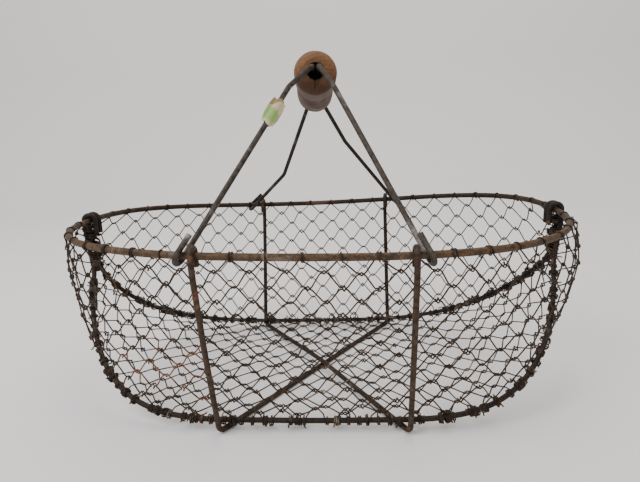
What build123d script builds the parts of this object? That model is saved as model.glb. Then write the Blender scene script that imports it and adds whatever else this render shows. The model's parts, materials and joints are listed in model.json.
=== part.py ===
from build123d import *

import os
from math import copysign, cos, pi, radians, sin, tan

# Oval wire basket with a bail handle: a thick rim wire, two chine wires that hang from the rim's
# ends and edge the bottom, two hoops that cross below the bottom and hook over the rim, three
# panels of hexagonal netting, and two bail wires that run through a turned wooden grip.
# Millimetres. X runs along the length, Y from front to rear, Z up. The origin is on the surface
# that the basket stands on, below the middle of its oval.

# Basket
basket_length = 447.0  # rim centreline, end to end
basket_width = 303.0  # rim centreline, front to rear
rim_height = 154.5  # rim centreline above the surface
rim_oval = 2.4  # exponent of the rim's superellipse: 2 is an ellipse
rim_twist = 4.1  # opposite quarters of the rim are sprung up and down by this much
rear_sag = 5.5  # of the rim's rear side in its middle
sag_return = 2.5  # how soon the rear side rises again towards the rim's ends
bottom_width = 222.5  # between the chine wires' centrelines
chine_pair = 8.0  # spacing of the two chines where they hang side by side
chine_drop = 42.0  # straight part of a chine, down from the rim's end
rib_spacing = 153.0  # between the left and right ribs
rib_bow = 3.0  # outward bow of a rib, half way up

# Bends of each chine, by hand: how square it is in length and in height, and how soon it parts
# from the other chine on the left and on the right. The rear one was bent less evenly.
chine_bends = {
    -1: {"length": 4.9, "height": 1.45, "left": 1.45, "right": 1.5},
    1: {"length": 3.4, "height": 1.2, "left": 3.4, "right": 1.8},
}

# Wires
rim_wire = 5.5
chine_wire = 4.5
hoop_wire = 4.5
bail_wire = 4.2
wire_gap = 0.5  # between wires that rest on each other
chine_tail = 13.0  # below the rim, inside the basket
hoop_tail = 9.0
bail_tail = 15.0  # above the rim, outside the leg
hoop_bend = 8.0  # centreline radius where a hoop turns under a chine

# Netting panels
net_thickness = 1.2
net_rim_gap = 12.0  # from the rim's centre down to the panels' top edge
net_chine_gap = 7.0  # from a chine's centre to a side panel's lower edge
net_lift = 4.0  # bottom panel above the chines' centres
net_edge_gap = 4.5  # bottom panel's edge inside the chines' centres
net_end_angle = 0.1  # how close to the rim's ends the panels reach, in radians of the oval

# Handle
grip_length = 124.0
grip_diameter = 35.0
grip_bore = 13.0
grip_dome = 10.0  # rounding of the grip's ends
waist_length = 58.0
waist_depth = 3.2
waist_round = 9.0
grip_offset = 3.2  # to the right of the middle
grip_rise = 123.9  # above the rim's centreline
grip_dip = 4.7  # degrees down towards the rear
grip_skew = 4.1  # degrees round from the Y axis
front_hook_spacing = 171.0  # between the left and right bail wires on the front rim
rear_hook_spacing = 177.0
hook_clearance = 1.0  # between a bail hook and the rim
bail_gap = 0.7  # between the two bail wires in the bore
bore_clearance = 0.35  # between a bail wire and the bore's top
exit_length = 5.0  # straight wire past each end of the grip
bail_bend = 6.0  # centreline radius at the grip's ends

# Each leg of the bails has one hand-made bend on its way from the grip to the hook, and the rear
# left one is the worst: the share of the way down where it is, and how far it stands off there.
leg_bends = {
    ("left", "front"): (0.136, Vector(-5.4, 2.2, 2.4)),
    ("left", "rear"): (0.64, Vector(13.3, 3.5, -6.9)),
    ("right", "front"): (0.119, Vector(2.0, 0.5, 0.8)),
    ("right", "rear"): (0.381, Vector(-5.7, 0.5, -3.8)),
}
leg_bend_radius = 14.0

# Paper label, wrapped round the front leg of the left bail
label_length = 26.0
label_width = 9.0
label_depth = 6.2
label_from_bend = 25.0  # from the leg's upper bend to the label's middle
label_clearance = 0.2

chine_height = hoop_wire * 1.5 + wire_gap  # chine centreline, where it lies on the hoops
bail_spacing = bail_wire + bail_gap
bend_slack = 0.2  # straight wire left beside a hook's bends
run_share = 0.45  # of the shorter run beside a bend, taken up by the bend's arc


def rim_z(x, y):
    """Height of the rim's centreline over a point of the oval."""
    out, back = 2 * x / basket_length, 2 * y / basket_width
    return rim_height + rim_twist * out * back - rear_sag * (1 - sag_return * out**2) * (1 + back) / 2


def rim_point(angle):
    """Point of the rim's centreline at an angle of its superellipse."""
    c, s = cos(angle), sin(angle)
    x = basket_length / 2 * copysign(abs(c) ** (2 / rim_oval), c)
    y = basket_width / 2 * copysign(abs(s) ** (2 / rim_oval), s)
    return Vector(x, y, rim_z(x, y))


def rim_at(x, side):
    """Point of the rim's centreline at a distance x from the middle; side is -1 front, 1 rear."""
    y = side * basket_width / 2 * (1 - abs(2 * x / basket_length) ** rim_oval) ** (1 / rim_oval)
    return Vector(x, y, rim_z(x, y))


def chine_y(c, s, side):
    """Distance of a chine from the middle, from the cosine and sine of its angle."""
    spread = chine_bends[side]["right" if c > 0 else "left"]
    return chine_pair / 2 + (bottom_width - chine_pair) / 2 * s**spread


def chine_point(angle, side):
    """Point of a chine's centreline, from the right end at 0 to the left end at pi."""
    c, s = cos(angle), sin(angle)
    x = basket_length / 2 * copysign(abs(c) ** (2 / chine_bends[side]["length"]), c)
    straight_end = rim_height - chine_drop
    z = straight_end - (straight_end - chine_height) * s ** (2 / chine_bends[side]["height"])
    return Vector(x, side * chine_y(c, s, side), z)


def chine_at(x, side):
    """Distance of a chine from the middle at a distance x along the basket."""
    c = copysign(abs(2 * x / basket_length) ** (chine_bends[side]["length"] / 2), x)
    return chine_y(c, (1 - c**2) ** 0.5, side)


def wide_bends(points):
    """Largest bend radius at each corner that leaves the runs beside it a short straight part."""
    radii = []
    for start, corner, end in zip(points, points[1:], points[2:]):
        before, after = corner - start, end - corner
        turn = radians(before.get_angle(after))
        radii.append(run_share * min(before.length, after.length) / tan(turn / 2))
    return radii


def bend_wire(points, radii, diameter):
    """Sweep a round wire along straight runs that are joined by tangent bends."""
    with BuildLine() as route:
        run_start = points[0]
        for start, corner, end, radius in zip(points, points[1:], points[2:], radii):
            before, after = (corner - start).normalized(), (end - corner).normalized()
            tangent_length = radius * tan(radians(before.get_angle(after)) / 2)
            bend_start, bend_end = corner - before * tangent_length, corner + after * tangent_length
            Line(run_start, bend_start)
            TangentArc(bend_start, bend_end, tangent=before)
            run_start = bend_end
        Line(run_start, points[-1])
    with BuildSketch(Plane(origin=points[0], z_dir=points[1] - points[0])) as section:
        Circle(diameter / 2)
    sweep(section.sketch, path=route.wire())


def finish(builder, name):
    """Label a finished piece and write its STEP file."""
    builder.part.label = name
    export_step(builder.part, f"parts/{name}.step")


os.makedirs("parts", exist_ok=True)

# Rim: one closed loop of thick wire, swept as two halves that meet at the rim's ends
half_rim_runs = 30
run_angle = pi / half_rim_runs
with BuildPart() as rim:
    for start in (0, pi):
        corners = [rim_point(start + run_angle * (i + 0.5)) for i in range(-1, half_rim_runs + 1)]
        joints = [(corners[0] + corners[1]) / 2, (corners[-2] + corners[-1]) / 2]
        bend_wire([joints[0], *corners[1:-1], joints[1]], wide_bends(corners), rim_wire)
finish(rim, "rim")


# Chines: each hooks over both ends of the rim and edges one long side of the bottom
def chine_hook(end, side):
    """Points of a hook over the rim's end, from the tail inside it to the wire outside it."""
    reach = (rim_wire + chine_wire) / 2 + wire_gap
    y = side * chine_pair / 2
    inner, outer = end * (basket_length / 2 - reach), end * (basket_length / 2 + reach)
    rim_end = rim_z(basket_length / 2, 0)
    return [
        Vector(inner, y, rim_end - chine_tail),
        Vector(inner, y, rim_end + reach),
        Vector(outer, y, rim_end + reach),
        Vector(outer, y, rim_end - 2 * reach),
    ]


chine_steps = 24
chine_start = 0.1  # radians of the side view where the hook's wire joins the curve
for side, name in ((-1, "front_chine"), (1, "rear_chine")):
    sweep_angles = [
        chine_start + (pi - 2 * chine_start) * i / chine_steps for i in range(chine_steps + 1)
    ]
    hook_radius = (rim_wire + chine_wire) / 2 + wire_gap - bend_slack
    curve = [chine_point(angle, side) for angle in sweep_angles]
    chine_points = chine_hook(1, side) + curve + chine_hook(-1, side)[::-1]
    chine_radii = wide_bends(chine_points)
    chine_radii[0:2] = [hook_radius] * 2
    chine_radii[-2:] = [hook_radius] * 2
    with BuildPart() as chine:
        bend_wire(chine_points, chine_radii, chine_wire)
    finish(chine, name)


# Hoops: each rises as a front rib and as the opposite rear rib, and crosses below the bottom
def rib(x, side):
    """Points of a rib, from its tail inside the rim to the bend under the chine."""
    reach = (rim_wire + hoop_wire) / 2 + wire_gap
    top = rim_at(x, side)
    foot = side * (chine_at(x, side) + hoop_bend)
    outer = top.Y + side * reach
    return [
        Vector(x, top.Y - side * reach, top.Z - hoop_tail),
        Vector(x, top.Y - side * reach, top.Z + reach),
        Vector(x, outer, top.Z + reach),
        Vector(x, outer, top.Z - 2 * reach),
        Vector(x, (outer + foot) / 2 + side * rib_bow, rim_height / 2),
        Vector(x, foot, hoop_wire / 2),
    ]


hoop_hook_radius = (rim_wire + hoop_wire) / 2 + wire_gap - bend_slack
neck_radius = 60.0
rib_bow_radius = 400.0
crossing_radius = 300.0
lower_crossing = hoop_wire / 2
upper_crossing = lower_crossing + hoop_wire + wire_gap
for x, crossing_z, name in (
    (-rib_spacing / 2, lower_crossing, "left_front_hoop"),
    (rib_spacing / 2, upper_crossing, "right_front_hoop"),
):
    front, rear = rib(x, -1), rib(-x, 1)
    ends = [hoop_hook_radius, hoop_hook_radius, neck_radius, rib_bow_radius, hoop_bend]
    if crossing_z > lower_crossing:
        hoop_points = front + [Vector(0, 0, crossing_z)] + rear[::-1]
        hoop_radii = ends + [crossing_radius] + ends[::-1]
    else:
        hoop_points = front + rear[::-1]
        hoop_radii = ends + ends[::-1]
    inner = slice(2, -2)  # the bends between the hooks
    hoop_radii[inner] = map(min, hoop_radii[inner], wide_bends(hoop_points)[inner])
    with BuildPart() as hoop:
        bend_wire(hoop_points, hoop_radii, hoop_wire)
    finish(hoop, name)

# Grip: turned wood, bored through, with rounded ends and a waist
grip_centre = Vector(grip_offset, 0, rim_height + grip_rise)
grip_axis = Vector(0, 1, 0).rotate(Axis.X, -grip_dip).rotate(Axis.Z, grip_skew)
grip_plane = Plane(origin=grip_centre, x_dir=(1, 0, 0), z_dir=grip_axis)  # its Y points down
grip_section = Plane(origin=grip_centre, x_dir=grip_axis, z_dir=grip_plane.x_dir)
half_grip, half_waist, grip_radius = grip_length / 2, waist_length / 2, grip_diameter / 2
with BuildPart() as grip:
    with BuildSketch(grip_section) as grip_profile:
        with BuildLine():
            left = Polyline((-half_waist, grip_radius), (-half_grip, grip_radius),
                            (-half_grip, grip_bore / 2), (half_grip, grip_bore / 2),
                            (half_grip, grip_radius), (half_waist, grip_radius))
            ThreePointArc(left @ 1, (0, grip_radius - waist_depth), left @ 0)
        make_face()
        left_end, left_waist, right_waist, right_end = (
            grip_profile.vertices().group_by(Axis.Y)[-1].sort_by(Axis.X)
        )
        fillet([left_waist, right_waist], waist_round)
        fillet([left_end, right_end], grip_dome)
    revolve(axis=Axis(grip_centre, grip_axis))
finish(grip, "grip")


# Bails: each hooks under the front rim, runs through the grip and hooks under the rear rim
def clear_of_rim(direction, wire_direction, along_rim):
    """Offset in a direction that takes a straight piece of bail wire clear of the rim."""
    away = wire_direction.cross(along_rim).normalized()
    reach = (rim_wire + bail_wire) / 2 + hook_clearance
    return direction * (reach / abs(direction.dot(away)))


def bail_hook(rim_centre, side, bend):
    """Points of a hook under the rim, from its tail outside the rim to the leg inside it."""
    along = (bend - rim_centre).normalized()
    across = along.cross(Vector(1, 0, 0)).normalized()
    if across.Y * side < 0:
        across = -across
    along_rim = (rim_at(rim_centre.X + 1, side) - rim_centre).normalized()
    out, drop = clear_of_rim(across, along, along_rim), clear_of_rim(along, across, along_rim)
    return [
        rim_centre + out + along * bail_tail,
        rim_centre + out - drop,
        rim_centre - out - drop,
    ]


def bail_leg(hand, name, side):
    """Points of a bail's leg, from the hook's tail up to the straight wire at the grip's end."""
    spacing = front_hook_spacing if side == "front" else rear_hook_spacing
    end = -1 if side == "front" else 1
    hook = rim_at(hand * spacing / 2, end)
    in_bore = Vector(hand * bail_spacing / 2, -bore_lift, end * (half_grip + exit_length))
    leaves_grip = grip_plane.from_local_coords(in_bore)
    share, bow = leg_bends[(name, side)]
    bend = leaves_grip + (hook - leaves_grip) * share + bow
    return bail_hook(hook, end, bend) + [bend, leaves_grip]


bore_reach = (grip_bore - bail_wire) / 2 - bore_clearance
bore_lift = (bore_reach**2 - (bail_spacing / 2) ** 2) ** 0.5
hook_radius = (rim_wire + bail_wire) / 2 + hook_clearance - bend_slack
bail_radii = [hook_radius, hook_radius, leg_bend_radius, bail_bend]
for hand, name in ((-1, "left"), (1, "right")):
    front_leg, rear_leg = bail_leg(hand, name, "front"), bail_leg(hand, name, "rear")
    with BuildPart() as bail:
        bend_wire(front_leg + rear_leg[::-1], bail_radii + bail_radii[::-1], bail_wire)
    finish(bail, f"{name}_bail")

# Label: a paper strip folded round the wire, a flat tube that the wire passes through
_, _, leg_foot, leg_bend, _ = bail_leg(-1, "left", "front")
leg_direction = (leg_foot - leg_bend).normalized()
label_start = leg_bend + leg_direction * (label_from_bend - label_length / 2)
with BuildPart() as label:
    with BuildSketch(Plane(origin=label_start, x_dir=(1, 0, 0), z_dir=leg_direction)):
        Ellipse(label_width / 2, label_depth / 2)
        Circle(bail_wire / 2 + label_clearance, mode=Mode.SUBTRACT)
    extrude(amount=label_length)
finish(label, "label")

# Netting: a thin sheet for each panel, lofted through strips that run across it
net_strips = 16
direction_step = 0.01  # radians of the oval, over which a chine's direction is taken
net_angles = [
    net_end_angle + (pi - 2 * net_end_angle) * i / net_strips for i in range(net_strips + 1)
]


def side_strip(angle, side):
    """Strip of a side panel's section, on the line from the chine up to the rim."""
    foot, top = chine_point(angle, side), rim_point(side * angle)
    slope = (top - foot).normalized()
    along_chine = (chine_point(angle + direction_step, side) - foot).normalized()
    low = foot + slope * (net_chine_gap / slope.cross(along_chine).length)
    high = top - slope * net_rim_gap
    outward = Vector(top.X / basket_length**2, top.Y / basket_width**2, 0)
    return Plane(origin=(low + high) / 2, x_dir=slope, z_dir=slope.cross(outward)), (high - low).length


def bottom_strip(angle):
    """Strip of the bottom panel's section, lying across both chines."""
    front, rear = chine_point(angle, -1), chine_point(angle, 1)
    across = (rear - front).normalized()
    ahead = chine_point(angle + direction_step, -1) + chine_point(angle + direction_step, 1)
    upward = (front + rear - ahead).cross(across).normalized()
    centre = (front + rear) / 2 + upward * net_lift
    length = (rear - front).length - 2 * net_edge_gap
    return Plane(origin=centre, x_dir=across, z_dir=across.cross(upward)), length


for name, strips in (
    ("front_net", [side_strip(angle, -1) for angle in net_angles]),
    ("rear_net", [side_strip(angle, 1) for angle in net_angles]),
    ("bottom_net", [bottom_strip(angle) for angle in net_angles]),
):
    with BuildPart() as net:
        for plane, length in strips:
            with BuildSketch(plane):
                Rectangle(length, net_thickness)
        loft()
    finish(net, name)
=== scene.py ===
import json
from math import cos, pi, radians, sin

import bpy
import numpy as np
from mathutils import Matrix, Vector


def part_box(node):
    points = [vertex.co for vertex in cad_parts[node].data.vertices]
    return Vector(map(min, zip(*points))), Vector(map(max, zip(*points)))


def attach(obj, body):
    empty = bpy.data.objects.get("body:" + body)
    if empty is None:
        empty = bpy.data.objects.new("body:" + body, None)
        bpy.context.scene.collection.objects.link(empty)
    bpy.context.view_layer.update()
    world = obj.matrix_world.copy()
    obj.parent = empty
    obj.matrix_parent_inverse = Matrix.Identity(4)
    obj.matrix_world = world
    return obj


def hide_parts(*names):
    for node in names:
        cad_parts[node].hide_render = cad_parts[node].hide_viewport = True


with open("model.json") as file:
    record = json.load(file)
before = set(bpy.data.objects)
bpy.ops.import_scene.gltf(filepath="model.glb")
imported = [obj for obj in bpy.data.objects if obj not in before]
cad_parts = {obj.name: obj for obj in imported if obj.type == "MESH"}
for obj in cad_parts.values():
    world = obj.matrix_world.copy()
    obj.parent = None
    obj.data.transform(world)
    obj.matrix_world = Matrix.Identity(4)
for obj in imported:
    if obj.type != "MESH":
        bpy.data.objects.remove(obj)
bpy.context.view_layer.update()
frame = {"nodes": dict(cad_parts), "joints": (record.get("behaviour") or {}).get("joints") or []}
mm = 0.001


# Camera: a short zoom lens, held just below the height of the grip and a little to the right of
# the basket's middle, tipped down so that one looks over the near rim onto the bottom.
camera_place = Vector((0.0324, -0.4758, 0.2363))
camera_yaw = -0.0623
camera_pitch = -0.2144
camera_roll = -0.0345
lens_mm, sensor_mm = 28.125, 36.0

ahead = Vector((sin(camera_yaw) * cos(camera_pitch), cos(camera_yaw) * cos(camera_pitch),
                sin(camera_pitch)))
level = Vector((cos(camera_yaw), -sin(camera_yaw), 0))
upright = level.cross(ahead)
camera_x = level * cos(camera_roll) + upright * sin(camera_roll)
camera_y = upright * cos(camera_roll) - level * sin(camera_roll)
camera = bpy.data.objects.new("camera", bpy.data.cameras.new("camera"))
bpy.context.scene.collection.objects.link(camera)
camera.data.lens, camera.data.sensor_width = lens_mm, sensor_mm
camera.data.clip_start = 10 * mm
camera_turn = Matrix((camera_x, camera_y, -ahead)).transposed().to_4x4()
camera.matrix_world = Matrix.Translation(camera_place) @ camera_turn
bpy.context.scene.camera = camera


# Rim: one loop of heavy mild-steel wire, 5.5 mm thick, bent round a former and butted at one end.
# Its zinc has long gone, so it is brown with age, with orange rust where hands and rain have
# worked on it.
def linear(hex_colour):
    """Turn an sRGB hex colour into the linear colour that a shader takes."""
    channels = [int(hex_colour[i : i + 2], 16) / 255 for i in (1, 3, 5)]
    return [c / 12.92 if c <= 0.04045 else ((c + 0.055) / 1.055) ** 2.4 for c in channels] + [1.0]


def add_node(tree, kind, inputs=None, stops=None, **settings):
    """Add a shader node with its settings, a ramp's stops, and its inputs as values or links."""
    node = tree.nodes.new(kind)
    for name, value in settings.items():
        setattr(node, name, value)
    for i, (place, colour) in enumerate(stops or []):
        ramp = node.color_ramp.elements
        element = ramp[i] if i < 2 else ramp.new(place)
        element.position, element.color = place, linear(colour)
    for name, value in (inputs or {}).items():
        if isinstance(value, bpy.types.NodeSocket):
            tree.links.new(value, node.inputs[name])
        else:
            node.inputs[name].default_value = value
    return node


def new_material(name):
    """Make an empty material, and give it, its node tree and its Principled shader."""
    material = bpy.data.materials.new(name)
    material.use_nodes = True
    return material, material.node_tree, material.node_tree.nodes["Principled BSDF"]


def aged_wire(name, dark, brown, rust, rubbed_and_highlight, rust_share, rubbed_and_highlight_share, patch_mm, pit_mm,
              rust_spot=None, rear_shade=1.0):
    """Steel wire gone brown: a dark patina, patches of rust, fine pits, and rubbed places that on some
    wires are partly painted highlights.

    A patch is patch_mm long, a pit is pit_mm wide, rust_spot is a place and reach in metres
    where the rust is at its worst, and rear_shade is how dark the rear is painted, as painted shade.
    """
    material, tree, shader = new_material(name)
    place = add_node(tree, "ShaderNodeTexCoord").outputs["Object"]
    patches = add_node(tree, "ShaderNodeTexNoise", {
        "Vector": place, "Scale": 1 / (patch_mm * mm), "Detail": 5.0, "Roughness": 0.6})
    rub_and_highlight_patches = add_node(tree, "ShaderNodeTexNoise", {
        "Vector": place, "Scale": 1 / (patch_mm * 0.7 * mm), "Detail": 6.0, "Roughness": 0.7,
        "Distortion": 0.6})
    mottle = add_node(tree, "ShaderNodeTexNoise", {
        "Vector": place, "Scale": 1 / (4.0 * mm), "Detail": 5.0, "Roughness": 0.7})
    pits = add_node(tree, "ShaderNodeTexNoise", {
        "Vector": place, "Scale": 1 / (pit_mm * mm), "Detail": 4.0, "Roughness": 0.65})
    patina = add_node(tree, "ShaderNodeValToRGB", {"Fac": mottle.outputs["Fac"]},
                      stops=[(0.38, dark), (0.64, brown)])
    rust_height = patches.outputs["Fac"]
    if rust_spot:
        spot_place, spot_reach = rust_spot
        away = add_node(tree, "ShaderNodeVectorMath", {0: place, 1: spot_place}, operation="DISTANCE")
        nearness = add_node(tree, "ShaderNodeMapRange", {
            "Value": away.outputs["Value"], "From Min": spot_reach, "From Max": 0.0,
            "To Min": 0.0, "To Max": 0.16})
        rust_height = add_node(tree, "ShaderNodeMath", {
            0: rust_height, 1: nearness.outputs["Result"]}, operation="ADD").outputs["Value"]
    rust_edge = 0.74 - 0.34 * rust_share
    ragged = add_node(tree, "ShaderNodeMath", {0: mottle.outputs["Fac"], 1: 0.22, 2: rust_height},
                      operation="MULTIPLY_ADD")
    rust_mask = add_node(tree, "ShaderNodeMapRange", {
        "Value": ragged.outputs["Value"], "From Min": rust_edge + 0.11 - 0.03,
        "From Max": rust_edge + 0.11 + 0.05})
    rust_tone = add_node(tree, "ShaderNodeMix", {
        0: pits.outputs["Fac"], 6: linear(rust), 7: linear(brown)}, data_type="RGBA")
    rusty = add_node(tree, "ShaderNodeMix", {
        0: rust_mask.outputs["Result"], 6: patina.outputs["Color"], 7: rust_tone.outputs[2]},
        data_type="RGBA")
    # Rubbed places: lighter patches of worn metal, which on the bottom netting and the bails are also
    # painted highlights.
    rub_and_highlight_edge = 0.74 - 0.34 * rubbed_and_highlight_share
    rub_and_highlight_mask = add_node(tree, "ShaderNodeMapRange", {
        "Value": rub_and_highlight_patches.outputs["Fac"], "From Min": rub_and_highlight_edge - 0.04, "From Max": rub_and_highlight_edge + 0.06,
        "To Max": 0.85})
    colour = add_node(tree, "ShaderNodeMix", {
        0: rub_and_highlight_mask.outputs["Result"], 6: rusty.outputs[2], 7: linear(rubbed_and_highlight)}, data_type="RGBA")
    # Painted shade: the colour darkens towards the rear of the basket, down to rear_shade at the far
    # side.
    apart = add_node(tree, "ShaderNodeSeparateXYZ", {"Vector": place})
    painted_rear_shade = add_node(tree, "ShaderNodeMapRange", {
        "Value": apart.outputs["Y"], "From Min": -0.12, "From Max": 0.08, "To Min": 1.0,
        "To Max": rear_shade})
    shaded = add_node(tree, "ShaderNodeVectorMath", {
        0: colour.outputs[2], "Scale": painted_rear_shade.outputs["Result"]}, operation="SCALE")
    tree.links.new(shaded.outputs["Vector"], shader.inputs["Base Color"])
    metal = add_node(tree, "ShaderNodeMapRange", {
        "Value": rust_mask.outputs["Result"], "To Min": 0.55, "To Max": 0.0})
    tree.links.new(metal.outputs["Result"], shader.inputs["Metallic"])
    roughness = add_node(tree, "ShaderNodeMapRange", {
        "Value": mottle.outputs["Fac"], "From Min": 0.3, "From Max": 0.7,
        "To Min": 0.50, "To Max": 0.78})
    tree.links.new(roughness.outputs["Result"], shader.inputs["Roughness"])
    bump = add_node(tree, "ShaderNodeBump", {
        "Height": pits.outputs["Fac"], "Strength": 0.55, "Distance": 0.25 * mm})
    tree.links.new(bump.outputs["Normal"], shader.inputs["Normal"])
    return material


def finish_node(name, material):
    """Give a frame piece its material and the slot that it takes its finish from."""
    node = frame["nodes"][name]
    node.data.materials.clear()
    node.data.materials.append(material)


# Weathered mild steel, hot-rolled wire: olive brown, with orange rust in long patches
rim_steel = aged_wire("weathered_mild_steel_rim", dark="#32271d", brown="#6a5138", rust="#854a25",
                      rubbed_and_highlight="#8a7d6d", rust_share=0.36, rubbed_and_highlight_share=0.30, patch_mm=34, pit_mm=1.1,
                      rear_shade=0.34)
finish_node("rim", rim_steel)


# Chines: two lighter wires that hook over both ends of the rim and edge the bottom. The netting's
# cut ends keep them damp, so they are nearly black, with rust only here and there.
chine_steel = aged_wire("weathered_mild_steel_chine", dark="#15110e", brown="#3a2d22",
                        rust="#7a4424", rubbed_and_highlight="#6f675d", rust_share=0.30, rubbed_and_highlight_share=0.22,
                        patch_mm=26, pit_mm=1.0)
finish_node("front_chine", chine_steel)
finish_node("rear_chine", chine_steel)


# Hoops: two wires bent to a U that cross below the bottom and hook over the rim as four ribs.
# They take the knocks, so they are dark brown and rubbed in places.
hoop_steel = aged_wire("weathered_mild_steel_hoop", dark="#231a13", brown="#574331",
                       rust="#7e4421", rubbed_and_highlight="#7b7267", rust_share=0.34, rubbed_and_highlight_share=0.30,
                       patch_mm=30, pit_mm=1.0, rear_shade=0.5)
finish_node("left_front_hoop", hoop_steel)
finish_node("right_front_hoop", hoop_steel)


# Netting of the sides: hexagonal mesh of about 25 mm, twisted from 1.2 mm wire and galvanised
# after weaving, one panel to a side. Each panel's top wire is whipped round the rim, and its cut
# ends are twisted round the chine. It bulges most near the ends, and more on the right.
net_wire = 1.2
mesh_pitch = 25.5
row_pitch = 11.7
twist_length = 4.4
twist_turn_points = 9
tube_sides = 6
middle_bulge, left_bulge, right_bulge = 2.0, 11.0, 17.0
edge_margin, end_margin = 3.0, 5.0

rim_wire, chine_wire = 5.5, 4.5
rim_high, chine_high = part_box("rim")[1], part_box("rear_chine")[1]
half_length = rim_high.x / mm - rim_wire / 2
half_width = rim_high.y / mm - rim_wire / 2
rim_height, rim_oval, rim_twist, rear_sag, sag_return = 154.5, 2.4, 4.1, 5.5, 2.5
chine_height, chine_pair, chine_drop = 7.25, 8.0, 42.0
chine_reach = chine_high.y / mm - chine_wire / 2
chine_bends = {
    -1: {"length": 4.9, "height": 1.45, "left": 1.45, "right": 1.5},
    1: {"length": 3.4, "height": 1.2, "left": 3.4, "right": 1.8},
}


def signed_power(value, power):
    """Power of a value's size that keeps its sign."""
    return np.sign(value) * np.abs(value) ** power


def rim_line(angle, side):
    """Points of the rim's centreline, from its right end at 0 to its left end at pi."""
    out = signed_power(np.cos(angle), 2 / rim_oval)
    back = side * np.sin(angle) ** (2 / rim_oval)
    sag = rear_sag * (1 - sag_return * out**2) * (1 + back) / 2
    z = rim_height + rim_twist * out * back - sag
    return np.stack([half_length * out, half_width * back, z], axis=-1)


def chine_line(angle, side):
    """Points of a chine's centreline below its straight ends, from the right to the left."""
    bends = chine_bends[side]
    x = half_length * signed_power(np.cos(angle), 2 / bends["length"])
    spread = np.where(np.cos(angle) > 0, bends["right"], bends["left"])
    y = chine_pair / 2 + (chine_reach - chine_pair / 2) * np.sin(angle) ** spread
    drop = (rim_height - chine_drop - chine_height) * np.sin(angle) ** (2 / bends["height"])
    return np.stack([x, side * y, rim_height - chine_drop - drop], axis=-1)


def whole_chine(side):
    """A chine's centreline with its straight ends, which rise to the rim."""
    line = chine_line(angle_steps, side)
    rise = np.array([0.0, 0.0, chine_drop])
    return np.vstack([line[0] + rise, line, line[-1] + rise])


angle_steps = np.linspace(1e-6, pi - 1e-6, 6001)


def arc_lengths(points):
    """Distance of each point along its line, measured from the line's middle to the right."""
    along = np.concatenate([[0.0], np.cumsum(np.linalg.norm(np.diff(points, axis=0), axis=1))])
    return along[len(along) // 2] - along


def follow(points, lengths, at):
    """Points of a line at the given distances from its middle."""
    order = slice(None, None, -1)
    return np.stack([np.interp(at, lengths[order], points[order, k]) for k in range(3)], axis=-1)


def unit(vectors):
    """Vectors shortened or stretched to a length of one."""
    return vectors / np.maximum(np.linalg.norm(vectors, axis=-1, keepdims=True), 1e-9)


def side_surface(side):
    """The sheet that a side panel lies in.

    Gives a function from length along the rim, depth below it and height off the sheet to a
    point, one from length to the panel's depth, one from length along the rim to length along
    the chine, half the rim's length, and the chine as a line with its lengths.
    """
    rim, chine = rim_line(angle_steps, side), whole_chine(side)
    rim_lengths, chine_lengths = arc_lengths(rim), arc_lengths(chine)
    rim_half = rim_lengths.max()

    def to_chine(s):
        chine_half = np.where(s > 0, chine_lengths.max(), -chine_lengths.min())
        return s + (chine_half - rim_half) * (s / rim_half) ** 3

    def ends(s):
        top = follow(rim, rim_lengths, np.clip(s, -rim_half, rim_half))
        foot = follow(chine, chine_lengths, to_chine(s))
        return top, foot

    def depth(s):
        top, foot = ends(s)
        return np.linalg.norm(foot - top, axis=-1)

    def surface(s, v, lift):
        top, foot = ends(s)
        ahead, behind = ends(s + 1.0)[0], ends(s - 1.0)[0]
        deep = np.linalg.norm(foot - top, axis=-1)
        down = unit(foot - top)
        outward = unit(np.cross(ahead - behind, down)) * side * -1
        outward *= np.sign(np.sum(outward * top * np.array([1, 1, 0]), axis=-1, keepdims=True))
        share = np.clip(v / np.maximum(deep, 1e-6), 0, 1)
        bulge = np.where(s > 0, right_bulge, left_bulge)
        bow = (middle_bulge + bulge * (s / rim_half) ** 2) * 4 * share * (1 - share)
        wave = 1.3 * np.sin(s / 23 + v / 17 + side) * np.sin(v / 29 - s / 41) * np.sqrt(share)
        return top + down * v[..., None] + outward * (bow + wave + lift)[..., None]

    return surface, depth, to_chine, rim_half, chine, chine_lengths


def twist_strand(twist, upper):
    """One of the two strands of a twist, as length, depth and height off the sheet."""
    turn = np.linspace(0, 1, twist_turn_points)
    phase = 2 * pi * turn + (pi if upper else 0)
    radius = net_wire / 2 * (1 + twist["eye"] * np.sin(pi * turn) ** 2)
    s = twist["s"] + (turn - 0.5) * twist["length"]
    v = twist["v"] + radius * np.cos(phase) + twist["slope"] * (turn - 0.5) * twist["length"]
    lift = twist["lift"] + radius * np.sin(phase) * 0.9
    return np.stack([s, v, lift], axis=-1)


def diagonal(start, end):
    """Points between two twists: a nearly straight leg with rounded shoulders."""
    shares = np.array([0.12, 0.5, 0.88])
    across = end - start
    points = start + across * shares[:, None]
    points[:, 1] -= across[1] * np.array([0.05, 0.0, -0.05])
    return points


def weave(rows, cells, phase, seed):
    """Twists of a panel: one for every row and pitch, with the small faults of woven netting."""
    random = np.random.default_rng(seed)
    twists = {}
    for row in rows:
        for cell in cells:
            eye = max(0.0, random.normal(1.6, 0.8))
            twists[row, cell] = {
                "s": phase + (cell + 0.5 * (row % 2)) * mesh_pitch + random.normal(0, 0.7),
                "v": row * row_pitch + random.normal(0, 0.6),
                "eye": eye,
                "length": twist_length * random.uniform(0.85, 1.2),
                "lift": random.normal(0, 0.35),
                "slope": random.normal(0, 0.10),
            }
    return twists


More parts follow.
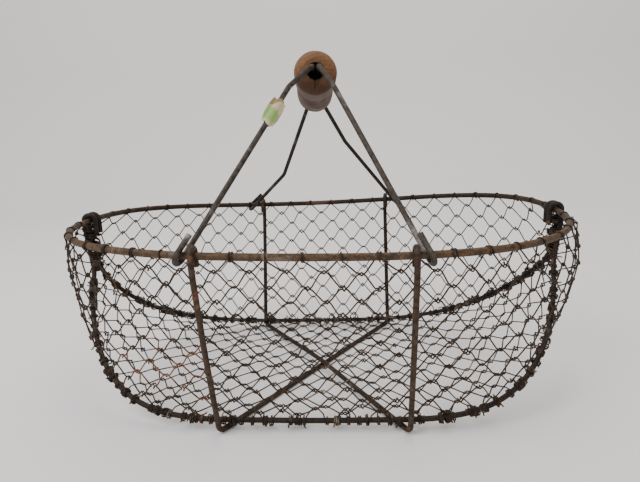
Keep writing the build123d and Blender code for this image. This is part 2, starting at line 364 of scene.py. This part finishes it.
def tube(path, radius):
    """Ring of vertices round each point of a path, carried along it without twisting."""
    heading = unit(np.gradient(path, axis=0))
    side = np.cross(heading[0], [0.0, 0.0, 1.0])
    if np.linalg.norm(side) < 0.1:
        side = np.cross(heading[0], [1.0, 0.0, 0.0])
    sides = []
    for direction in heading:
        side = side - direction * np.dot(side, direction)
        side = side / np.linalg.norm(side)
        sides.append(side)
    sides = np.array(sides)
    ups = np.cross(heading, sides)
    turn = np.arange(tube_sides) * 2 * pi / tube_sides
    ring = sides[:, None] * np.cos(turn)[None, :, None] + ups[:, None] * np.sin(turn)[None, :, None]
    return path[:, None] + ring * radius


def wire_mesh(name, paths, radius, material):
    """Make one object of round wires, each closed at its ends, from paths in millimetres."""
    vertices, faces = [], []
    for path in paths:
        rings = tube(path, radius)
        first = len(vertices)
        vertices.extend(map(tuple, rings.reshape(-1, 3) * mm))
        for ring in range(len(rings) - 1):
            a = first + ring * tube_sides
            for k in range(tube_sides):
                b = (k + 1) % tube_sides
                faces.append((a + k, a + b, a + tube_sides + b, a + tube_sides + k))
        last = first + (len(rings) - 1) * tube_sides
        faces.append(tuple(first + k for k in reversed(range(tube_sides))))
        faces.append(tuple(last + k for k in range(tube_sides)))
    mesh = bpy.data.meshes.new(name)
    mesh.from_pydata(vertices, [], faces)
    mesh.polygons.foreach_set("use_smooth", [True] * len(mesh.polygons))
    mesh.materials.append(material)
    piece = bpy.data.objects.new(name, mesh)
    bpy.context.scene.collection.objects.link(piece)
    return piece


def rim_whip(s, turns, drift):
    """The top wire's turns round the rim, from inside it to outside it, about a place s."""
    radius = (rim_wire + net_wire) / 2
    turn = np.linspace(-0.12, turns + 0.12, int(10 * turns) + 4)
    height = -radius * np.sin(2 * pi * turn)
    lift = -radius * np.cos(2 * pi * turn)
    return np.stack([s + (turn - turns / 2) * drift, height, lift], axis=-1)


def chine_wrap(last, s, direction, chine, lengths, turns, tail, random):
    """Turns of a cut end round the chine and the tail that is left, from its last free point."""
    radius = (chine_wire + net_wire) / 2 + random.uniform(0, 0.9)
    steps = int(turns * 9) + 2
    drift = random.uniform(1.25, 1.9) * random.choice([-1, 1])
    angle = np.linspace(pi / 2, pi / 2 + 2 * pi * turns, steps)
    centre = follow(chine, lengths, s + drift * (angle - pi / 2) / (2 * pi))
    along = unit(follow(chine, lengths, s + 1.0) - follow(chine, lengths, s - 1.0))
    toward = last - centre[0]
    toward = unit(toward - along * np.dot(toward, along))
    across = np.cross(along, toward) * direction
    loosen = radius * (1 + 0.25 * random.random() * np.linspace(0, 1, steps))
    turns_round = centre + (toward * np.cos(angle)[:, None] + across * np.sin(angle)[:, None]) \
        * loosen[:, None]
    leaving = unit(turns_round[-1] - turns_round[-2]) + random.normal(0, 0.35, 3)
    end = turns_round[-1] + unit(leaving) * tail
    return np.vstack([turns_round, (turns_round[-1] + end) / 2 + random.normal(0, 0.2, 3), end])


def clipped(path, keep):
    """Split a path into its stretches inside the panel, with the crossing point at each cut."""
    inside = keep(path) > 0
    stretches, start = [], None
    for i in range(len(path)):
        if inside[i] and start is None:
            start = i
        if start is not None and (not inside[i] or i == len(path) - 1):
            stop = i if not inside[i] else i + 1
            before = path[start - 1] if start > 0 else None
            after = path[stop] if stop < len(path) else None
            if stop - start >= 3:
                stretches.append((path[start:stop], before, after))
            start = None
    return stretches


def crossing(inner, outer, keep):
    """Length along the panel at which a wire meets the panel's edge."""
    a, b = keep(inner[None])[0], keep(outer[None])[0]
    share = a / max(a - b, 1e-6)
    return inner[0] + (outer[0] - inner[0]) * min(max(share, 0.0), 1.0)


def panel_wires(twists, rows, cells, surface, keep, edge, seed, first_is_rim):
    """Every wire of a panel as a path in millimetres, wrapped where the panel's edge cuts it."""
    random = np.random.default_rng(seed)
    paths = []
    for row in rows[:-1]:
        run = []
        for cell in cells:
            pair = [(row, False), (row + 1, True)]
            for r, upper in pair if row % 2 == 0 else reversed(pair):
                twist = twists[r, cell]
                if first_is_rim and r == rows[0]:
                    turns = random.choice([0.5, 1.5, 1.5])
                    points = rim_whip(twist["s"], turns, random.uniform(1.3, 2.2))
                else:
                    points = twist_strand(twist, upper)
                if run:
                    run.append(diagonal(run[-1][-1], points[0]))
                run.append(points)
        flat = np.vstack(run)
        for stretch, before, after in clipped(flat, keep):
            path = surface(stretch[:, 0], stretch[:, 1], stretch[:, 2])
            for cut, reverse in ((before, True), (after, False)):
                if cut is None:
                    continue
                path = path[::-1] if reverse else path
                inner = stretch[0] if reverse else stretch[-1]
                wrap = edge(path[-1], crossing(inner, cut, keep), inner, random)
                path = np.vstack([path, wrap])
                path = path[::-1] if reverse else path
            paths.append(path)
    return paths


# Woven galvanised steel netting, zinc gone: dark brown, with orange rust low on the left side
side_steel = aged_wire("weathered_steel_netting", dark="#231a13", brown="#4f3d2b", rust="#824823",
                       rubbed_and_highlight="#857764", rust_share=0.18, rubbed_and_highlight_share=0.28, patch_mm=38,
                       pit_mm=0.9, rust_spot=((-0.125, -0.12, 0.055), 0.085), rear_shade=0.25)
side_rows = range(0, 17)
side_cells = range(-13, 14)
for name, side, phase, seed in (("front", -1, 1.0, 3), ("rear", 1, 9.2, 5)):
    surface, depth, to_chine, rim_half, chine, chine_lengths = side_surface(side)
    twists = weave(side_rows, side_cells, phase, seed)

    def keep(points):
        """Distance left above the chine, and none past the rim's ends."""
        room = depth(points[:, 0]) - points[:, 1] - edge_margin
        return np.where(np.abs(points[:, 0]) < rim_half - end_margin, room, -1.0)

    def edge(last, s, inner, random):
        """Wrap a cut end round the chine, with more turns towards the basket's ends."""
        out = abs(s) / rim_half
        turns = random.uniform(1.0, 1.6) + random.uniform(1.0, 3.2) * out
        return chine_wrap(last, to_chine(s), random.choice([-1, 1]), chine, chine_lengths,
                          turns, random.uniform(1.5, 5.0), random)

    paths = panel_wires(twists, side_rows, side_cells, surface, keep, edge, seed + 20, True)
    netting = wire_mesh(f"{name}_netting", paths, net_wire / 2, side_steel)
    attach(netting, "basket")
    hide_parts(f"{name}_net")


# Lacing: where the two chines hang side by side below the rim's ends, the netting's ends are drawn
# together by many loose turns of the same wire round both of them.
def lacing(end, random):
    """Uneven turns round both chines, from just below the rim down to where they part."""
    turns = 27
    turn = np.linspace(0, turns, turns * 12)
    fall = turn / turns
    top, bottom = rim_height - 3.0, rim_height - chine_drop - 6.0
    centre_x = half_length + 5.2 * (1 - fall) ** 1.2
    loose = 1 + 0.22 * np.sin(turn * 4.1) + random.uniform(0.0, 0.08, len(turn))
    reach = chine_wire / 2 + net_wire / 2
    x = end * centre_x + (reach + 0.5) * loose * np.cos(2 * pi * turn)
    y = (chine_pair / 2 + reach + 0.3) * loose * np.sin(2 * pi * turn)
    z = top + (bottom - top) * fall + random.normal(0, 0.25, len(turn)) + 1.2 * np.sin(turn * 1.7)
    return np.stack([x, y, z], axis=-1)


def cut_tail(end, random):
    """A short cut end that sticks out of the lacing."""
    z = random.uniform(rim_height - chine_drop - 8, rim_height - 8)
    start = np.array([end * (half_length + 2.0), random.uniform(-6, 6), z])
    way = np.array([end * random.uniform(-0.8, 0.8), random.normal(0, 0.8), random.normal(0, 0.7)])
    shares = np.array([0.0, 0.25, 0.5, 0.75, 1.0])
    curl = random.normal(0, 2.6, 3)
    reach = shares * random.uniform(6, 11)
    return start + unit(way) * reach[:, None] + curl * (shares**2)[:, None]


lace_steel = aged_wire("weathered_steel_lacing", dark="#100d0b", brown="#33281e", rust="#6f4126",
                       rubbed_and_highlight="#62594e", rust_share=0.25, rubbed_and_highlight_share=0.15, patch_mm=22, pit_mm=0.9)
lace_random = np.random.default_rng(14)
lace_paths = [lacing(end, lace_random) for end in (-1, 1)]
lace_paths += [cut_tail(end, lace_random) for end in (-1, 1) for _ in range(30)]
end_lacing = wire_mesh("end_lacing", lace_paths, net_wire / 2, lace_steel)
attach(end_lacing, "basket")


# Netting of the bottom: one long piece of the same mesh laid over the crossing hoops, from one
# end of the rim to the other, with its cut edges twisted round both chines.
bottom_lift = 3.2
front_edge, rear_edge = chine_line(angle_steps, -1), chine_line(angle_steps, 1)
keel = (front_edge + rear_edge) / 2
keel_lengths = arc_lengths(keel)
keel_across = unit(rear_edge - front_edge)
keel_upward = unit(np.cross(keel_across, np.gradient(keel, axis=0)))
keel_upward *= np.sign(keel_upward[len(keel) // 2, 2])
keel_edges = np.linalg.norm(rear_edge - front_edge, axis=1) / 2


def keel_width(s):
    """Half width of the bottom at a length along it."""
    return np.interp(s, keel_lengths[::-1], keel_edges[::-1])


def bottom_surface(s, v, lift):
    """Point of the bottom sheet from the length along it, the distance across and the height."""
    share = np.clip(v / keel_width(s), -1, 1)
    wave = 0.9 * np.sin(s / 31 + v / 19) * np.cos(v / 23 - s / 47)
    height = bottom_lift + 1.0 + wave - 1.6 * share**2 + lift
    across = follow(keel_across, keel_lengths, s) * v[:, None]
    return follow(keel, keel_lengths, s) + across + follow(keel_upward, keel_lengths, s) * height[:, None]


bottom_chines = {}
for side in (-1, 1):
    line = whole_chine(side)
    bottom_chines[side] = (line, arc_lengths(line))


def keep_bottom(points):
    """Distance left to the nearer chine, and none past the ends."""
    room = keel_width(points[:, 0]) - np.abs(points[:, 1]) - edge_margin
    inside = (points[:, 0] < keel_lengths.max() - 4) & (points[:, 0] > keel_lengths.min() + 4)
    return np.where(inside, room, -1.0)


def bottom_edge(last, s, inner, random):
    """Wrap a cut end of the bottom round the nearer chine."""
    line, lengths = bottom_chines[1 if inner[1] > 0 else -1]
    nearest = np.argmin(np.linalg.norm(line - last, axis=1))
    return chine_wrap(last, lengths[nearest], random.choice([-1, 1]), line, lengths,
                      random.uniform(1.0, 2.4), random.uniform(1.5, 5.0), random)


# Its pale tan-grey rubbed patches are partly wear and partly painted highlight, and its rear is painted
# darker as painted shade.
bottom_steel = aged_wire("weathered_steel_netting_bottom", dark="#1d1611", brown="#4a3827",
                         rust="#7d4725", rubbed_and_highlight="#9b8c75", rust_share=0.26, rubbed_and_highlight_share=0.46,
                         patch_mm=30, pit_mm=0.9, rear_shade=0.6)
bottom_rows = range(-11, 12)
bottom_cells = range(-15, 16)
bottom_twists = weave(bottom_rows, bottom_cells, 4.0, 8)
bottom_paths = panel_wires(bottom_twists, bottom_rows, bottom_cells, bottom_surface, keep_bottom,
                           bottom_edge, 31, False)
bottom_netting = wire_mesh("bottom_netting", bottom_paths, net_wire / 2, bottom_steel)
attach(bottom_netting, "basket")
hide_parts("bottom_net")


# Bails: two spring-hard wires that hook under the rim and run together through the grip. Hands
# keep them clean, so they stay a dark steel grey, with lighter rubbed patches that are partly wear
# and partly painted highlight, and they are painted darker towards the rear as painted shade.
bail_steel = aged_wire("handled_spring_steel_bail", dark="#302923", brown="#594f45",
                       rust="#6f4c36", rubbed_and_highlight="#958f88", rust_share=0.18, rubbed_and_highlight_share=0.42,
                       patch_mm=32, pit_mm=0.9, rear_shade=0.35)
finish_node("left_bail", bail_steel)
finish_node("right_bail", bail_steel)


# Grip: a turned beech handle, bored through for the two wires. Its ends are rounded, its middle is
# waisted for the hand, and it is darker below, partly grime and partly painted shade, with a
# drying crack at the near end.
grip_joint = frame["joints"][0]
grip_half, grip_radius, bore_radius = 62.0, 17.5, 6.5
grip_dome, dome_squareness, dome_share = 9.5, 2.2, 0.9
bore_wear, bore_inset, face_dish = 0.5, 3.0, 0.9
waist_half, waist_depth = 30.0, 3.2
crack_angle, crack_reach, crack_width, crack_depth = -pi / 2 + 0.08, 13.0, 0.35, 2.5
crack_run = 3.5
grip_segments = 160


def grip_radius_at(z):
    """Radius of the grip's outside at a distance from its middle."""
    waist = waist_depth * (0.5 + 0.5 * cos(pi * min(abs(z) / waist_half, 1.0)))
    into_dome = max(0.0, abs(z) - (grip_half - grip_dome)) / grip_dome
    dome = grip_dome * (1 - (1 - min(into_dome, 1.0) ** dome_squareness) ** 0.5) * dome_share
    return grip_radius - waist - dome


def grip_outline():
    """Half section of the grip as radius and height, from inside the bore round the outside."""
    outside = [(grip_radius_at(z), z) for z in grip_half * np.sin(np.linspace(-pi / 2, pi / 2, 90))]
    face = [(r, face_dish * ((r - bore_radius) / (grip_radius - grip_dome)) ** 2)
            for r in np.linspace(bore_radius + bore_wear, outside[0][0], 14)[:-1]]
    wear = [(bore_radius + bore_wear * (1 - cos(t)), bore_wear * (1 - sin(t)))
            for t in np.linspace(0, pi / 2, 5)]
    low = [(r, -grip_half + up) for r, up in wear + face]
    high = [(r, -z) for r, z in reversed(low)]
    bore = [(bore_radius, z) for z in np.linspace(grip_half - bore_inset, -grip_half + bore_inset, 24)]
    return low + outside + high + bore


grip_vertices, grip_faces = [], []
outline = grip_outline()
dents = np.random.default_rng(4).normal(0, 1, 2)
for radius, z in outline:
    for k in range(grip_segments):
        angle = 2 * pi * k / grip_segments
        rough = 0.10 * sin(3 * angle + dents[0]) * sin(z / 9 + dents[1])
        rough += 0.05 * sin(7 * angle + z / 4)
        off_crack = abs((angle - crack_angle + pi) % (2 * pi) - pi) * radius
        at_face = z < -grip_half + crack_run and radius < crack_reach
        cut = crack_depth * max(0.0, 1 - off_crack / crack_width) * at_face
        spread = radius + (rough if radius > bore_radius + bore_wear else 0.0)
        grip_vertices.append((spread * cos(angle) * mm, spread * sin(angle) * mm, (z + cut) * mm))
rings = len(outline)
for i in range(rings):
    for k in range(grip_segments):
        a, b = i * grip_segments, (i + 1) % rings * grip_segments
        n = (k + 1) % grip_segments
        grip_faces.append((a + k, a + n, b + n, b + k))
grip_mesh = bpy.data.meshes.new("turned_grip")
grip_mesh.from_pydata(grip_vertices, [], grip_faces)
grip_mesh.polygons.foreach_set("use_smooth", [True] * len(grip_mesh.polygons))
grip = bpy.data.objects.new("turned_grip", grip_mesh)
bpy.context.scene.collection.objects.link(grip)
grip_z = Vector(grip_joint["axis"]).normalized()
grip_x = Vector((0, 0, 1)).cross(grip_z).normalized()
grip_turn = Matrix((grip_x, grip_z.cross(grip_x), grip_z)).transposed().to_4x4()
grip.matrix_world = Matrix.Translation(Vector(grip_joint["pos_m"])) @ grip_turn

# Beech, turned and then oiled by hands: straight grain along it, rings on its end, grime and painted
# shade below
beech, tree, shader = new_material("turned_beech_oiled_by_hands")
place = add_node(tree, "ShaderNodeTexCoord").outputs["Object"]
along = add_node(tree, "ShaderNodeMapping", {"Vector": place, "Scale": (1, 1, 0.10)})
grain = add_node(tree, "ShaderNodeTexNoise", {
    "Vector": along.outputs["Vector"], "Scale": 1 / (0.9 * mm), "Detail": 5.0, "Roughness": 0.6})
stains = add_node(tree, "ShaderNodeTexNoise", {
    "Vector": place, "Scale": 1 / (14 * mm), "Detail": 5.0, "Roughness": 0.65, "Distortion": 0.4})
off_heart = add_node(tree, "ShaderNodeVectorMath", {0: place, 1: (0.009, 0.016, 0.0)}, operation="ADD")
rings_wave = add_node(tree, "ShaderNodeTexWave", {
    "Vector": off_heart.outputs["Vector"], "Scale": 1 / (11 * mm), "Distortion": 1.6, "Detail": 3.0,
    "Detail Scale": 1.2}, wave_type="RINGS", rings_direction="Z")
wood = add_node(tree, "ShaderNodeValToRGB", {"Fac": grain.outputs["Fac"]},
                stops=[(0.30, "#5d3c23"), (0.52, "#76502f"), (0.72, "#8a633d")])
ringed = add_node(tree, "ShaderNodeMix", {
    0: 0.12, 6: wood.outputs["Color"], 7: rings_wave.outputs["Color"]}, data_type="RGBA",
    blend_type="SOFT_LIGHT")
apart = add_node(tree, "ShaderNodeSeparateXYZ", {"Vector": place})
# Darker and greyer from the neck of the near end back to the far end.
greyer = add_node(tree, "ShaderNodeMapRange", {
    "Value": apart.outputs["Z"], "From Min": -0.050, "From Max": -0.030, "To Max": 0.75})
grey_grain = add_node(tree, "ShaderNodeValToRGB", {"Fac": grain.outputs["Fac"]},
                      stops=[(0.30, "#3a2817"), (0.68, "#6b5335")])
greyed_body = add_node(tree, "ShaderNodeMix", {
    0: greyer.outputs["Result"], 6: ringed.outputs[2], 7: grey_grain.outputs["Color"]},
    data_type="RGBA")
# Grime and painted shade: the colour darkens below the grip's axis, on top of the stains.
underside_shade_and_grime = add_node(tree, "ShaderNodeMapRange", {
    "Value": apart.outputs["Y"], "From Min": 0.004, "From Max": -0.015, "To Max": 0.52})
stains_and_underside_shade = add_node(tree, "ShaderNodeMath", {
    0: stains.outputs["Fac"], 1: underside_shade_and_grime.outputs["Result"]}, operation="ADD")
grime_and_shade_mask = add_node(tree, "ShaderNodeMapRange", {
    "Value": stains_and_underside_shade.outputs["Value"], "From Min": 0.48, "From Max": 0.90, "To Max": 0.9})
grimed_and_shaded = add_node(tree, "ShaderNodeMix", {
    0: grime_and_shade_mask.outputs["Result"], 6: greyed_body.outputs[2], 7: linear("#3c2414")}, data_type="RGBA")
# Painted shade: the bore and the worn edge round its mouth are painted near black.
bore_away = add_node(tree, "ShaderNodeVectorMath", {
    0: place, 1: (1, 1, 0)}, operation="MULTIPLY")
bore_distance = add_node(tree, "ShaderNodeVectorMath", {0: bore_away.outputs["Vector"]},
                         operation="LENGTH")
bore_shade_mask = add_node(tree, "ShaderNodeMapRange", {
    "Value": bore_distance.outputs["Value"], "From Min": 0.0080, "From Max": 0.0064})
bore_shaded = add_node(tree, "ShaderNodeMix", {
    0: bore_shade_mask.outputs["Result"], 6: grimed_and_shaded.outputs[2], 7: linear("#1a100a")}, data_type="RGBA")
tree.links.new(bore_shaded.outputs[2], shader.inputs["Base Color"])
gloss = add_node(tree, "ShaderNodeMapRange", {
    "Value": stains.outputs["Fac"], "From Min": 0.3, "From Max": 0.7, "To Min": 0.5, "To Max": 0.75})
tree.links.new(gloss.outputs["Result"], shader.inputs["Roughness"])
shader.inputs["Specular IOR Level"].default_value = 0.3
pores = add_node(tree, "ShaderNodeBump", {
    "Height": grain.outputs["Fac"], "Strength": 0.2, "Distance": 0.2 * mm})
tree.links.new(pores.outputs["Normal"], shader.inputs["Normal"])
grip_mesh.materials.append(beech)
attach(grip, "handle_grip")
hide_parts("grip")


# Label: a strip of gummed paper folded round the wire and stuck to itself, so that it stands out
# as a flag on both sides. It is cream, with a worn green print and a torn, browned corner.
label_corners = np.array([v.co for v in frame["nodes"]["label"].data.vertices]) / mm
label_centre = label_corners.mean(axis=0)
label_axis = np.linalg.svd(label_corners - label_centre)[2][0]
label_axis *= np.sign(label_axis[2])
label_face = unit(np.array([0.25, -1.0, 0.1]) - label_axis * np.dot([0.25, -1.0, 0.1], label_axis))
label_side = np.cross(label_axis, label_face)
label_half, wire_clear, paper = 11.0, 2.45, 0.22
label_steps, label_points = 30, 28


def label_width(share, side):
    """How far the paper stands out from the wire, on its left at -1 and on its right at 1."""
    if side < 0:
        return 4.9 + 1.3 * sin(pi * share) + 0.9 * max(0.0, share - 0.6)
    return 4.6 + 0.9 * cos(2.4 * pi * share) - 1.4 * max(0.0, 0.25 - share) * 4


def paper_loop(share):
    """Section of the folded paper: flat flags beside the wire, round where it goes over it."""
    left, right = label_width(share, -1), label_width(share, 1)
    points = []
    for face in (1, -1):
        for t in np.linspace(-1, 1, label_points):
            across = (t * right if t > 0 else t * left) * face
            rise = wire_clear * max(0.0, 1 - (across / (wire_clear + 0.9)) ** 2) ** 0.75
            curl = 0.7 * sin(2.2 * share * pi + across * 0.3) * (abs(across) / 6) ** 2
            points.append((across, face * max(rise, paper) + curl))
    return points


label_vertices, label_faces = [], []
loop_size = 2 * label_points
for i in range(label_steps + 1):
    share = i / label_steps
    for across, out in paper_loop(share):
        ragged = sin(across * 0.7 + 0.8) * (2 * share - 1) ** 7 + 0.25 * sin(across * 2.6) * share**9
        up = (2 * share - 1) * label_half + ragged - 0.10 * across
        label_vertices.append(tuple(np.array([across, out, up]) * mm))
for i in range(label_steps):
    for k in range(loop_size):
        a, b, n = i * loop_size, (i + 1) * loop_size, (k + 1) % loop_size
        label_faces.append((a + k, a + n, b + n, b + k))
label_mesh = bpy.data.meshes.new("paper_label")
label_mesh.from_pydata(label_vertices, [], label_faces)
label_mesh.polygons.foreach_set("use_smooth", [True] * len(label_mesh.polygons))
label = bpy.data.objects.new("paper_label", label_mesh)
bpy.context.scene.collection.objects.link(label)
label_turn = Matrix((Vector(label_side), Vector(label_face), Vector(label_axis))).transposed().to_4x4()
label.matrix_world = Matrix.Translation(Vector(label_centre) * mm) @ label_turn
thickness = label.modifiers.new("paper", "SOLIDIFY")
thickness.thickness, thickness.offset = 0.18 * mm, 0.0

# Gummed paper, yellowed: matt, fibrous, printed green across its middle
gummed, tree, shader = new_material("gummed_paper_yellowed")
place = add_node(tree, "ShaderNodeTexCoord").outputs["Object"]
fibres = add_node(tree, "ShaderNodeTexNoise", {
    "Vector": place, "Scale": 1 / (0.9 * mm), "Detail": 5.0, "Roughness": 0.7})
blots = add_node(tree, "ShaderNodeTexNoise", {
    "Vector": place, "Scale": 1 / (5 * mm), "Detail": 4.0, "Roughness": 0.6})
cream = add_node(tree, "ShaderNodeValToRGB", {"Fac": fibres.outputs["Fac"]},
                 stops=[(0.35, "#b5a67c"), (0.62, "#ddd0a8")])
apart = add_node(tree, "ShaderNodeSeparateXYZ", {"Vector": place})
print_away = add_node(tree, "ShaderNodeVectorMath", {
    0: place, 1: (-0.001, 0.0, -0.0035)}, operation="DISTANCE")
print_edge = add_node(tree, "ShaderNodeMath", {
    0: blots.outputs["Fac"], 1: 0.007, 2: print_away.outputs["Value"]}, operation="MULTIPLY_ADD")
print_mask = add_node(tree, "ShaderNodeMapRange", {
    "Value": print_edge.outputs["Value"], "From Min": 0.0108, "From Max": 0.0090, "To Max": 0.95})
printed = add_node(tree, "ShaderNodeMix", {
    0: print_mask.outputs["Result"], 6: cream.outputs["Color"], 7: linear("#8fb060")},
    data_type="RGBA")
corner = add_node(tree, "ShaderNodeMath", {
    0: apart.outputs["Z"], 1: apart.outputs["X"]}, operation="SUBTRACT")
corner_edge = add_node(tree, "ShaderNodeMath", {
    0: blots.outputs["Fac"], 1: 0.008, 2: corner.outputs["Value"]}, operation="MULTIPLY_ADD")
brown_mask = add_node(tree, "ShaderNodeMapRange", {
    "Value": corner_edge.outputs["Value"], "From Min": 0.0105, "From Max": 0.0130, "To Max": 0.85})
browned = add_node(tree, "ShaderNodeMix", {
    0: brown_mask.outputs["Result"], 6: printed.outputs[2], 7: linear("#7d6138")}, data_type="RGBA")
tree.links.new(browned.outputs[2], shader.inputs["Base Color"])
shader.inputs["Roughness"].default_value = 0.85
creases = add_node(tree, "ShaderNodeBump", {
    "Height": fibres.outputs["Fac"], "Strength": 0.4, "Distance": 0.15 * mm})
tree.links.new(creases.outputs["Normal"], shader.inputs["Normal"])
label_mesh.materials.append(gummed)
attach(label, "basket")
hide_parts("label")


# Room: a pale floor that sweeps up into a pale wall behind, as in a studio, and soft light from a
# large window above and to the left, helped by a paler ceiling.
floor_radius = 4.0
sweep_start, sweep_radius, wall_height = 1.1, 0.5, 3.0
profile = [(-floor_radius, 0.0), (sweep_start, 0.0)]
profile += [(sweep_start + sweep_radius * sin(t), sweep_radius * (1 - cos(t)))
            for t in np.linspace(0, pi / 2, 16)[1:]]
profile += [(sweep_start + sweep_radius, wall_height)]
floor_mesh = bpy.data.meshes.new("floor")
floor_points = [(x, y, z) for y, z in profile for x in (-floor_radius, floor_radius)]
floor_faces = [(2 * i, 2 * i + 1, 2 * i + 3, 2 * i + 2) for i in range(len(profile) - 1)]
floor_mesh.from_pydata(floor_points, [], floor_faces)
floor_mesh.polygons.foreach_set("use_smooth", [True] * len(floor_mesh.polygons))
floor = bpy.data.objects.new("floor", floor_mesh)
bpy.context.scene.collection.objects.link(floor)
floor_material, _, floor_shader = new_material("matt_painted_backdrop")
floor_shader.inputs["Base Color"].default_value = linear("#eae6e2")
floor_shader.inputs["Roughness"].default_value = 0.9
floor_mesh.materials.append(floor_material)

world = bpy.data.worlds.new("room")
bpy.context.scene.world = world
world.use_nodes = True
world.node_tree.nodes["Background"].inputs["Color"].default_value = linear("#e4e6ea")
world.node_tree.nodes["Background"].inputs["Strength"].default_value = 0.95


def window(name, place, target, size, power, colour):
    """A soft area light, aimed at a point."""
    light = bpy.data.lights.new(name, "AREA")
    light.shape, light.size, light.energy = "DISK", size, power
    light.color = linear(colour)[:3]
    lamp = bpy.data.objects.new(name, light)
    lamp.location = place
    lamp.rotation_euler = (Vector(target) - Vector(place)).to_track_quat("-Z", "Y").to_euler()
    bpy.context.scene.collection.objects.link(lamp)


window("window_light", (-1.1, -0.9, 1.7), (0, 0, 0.1), 1.4, 30, "#f4f7ff")
window("ceiling_light", (0.5, 0.5, 2.2), (0, 0, 0.1), 1.8, 20, "#fff4e6")
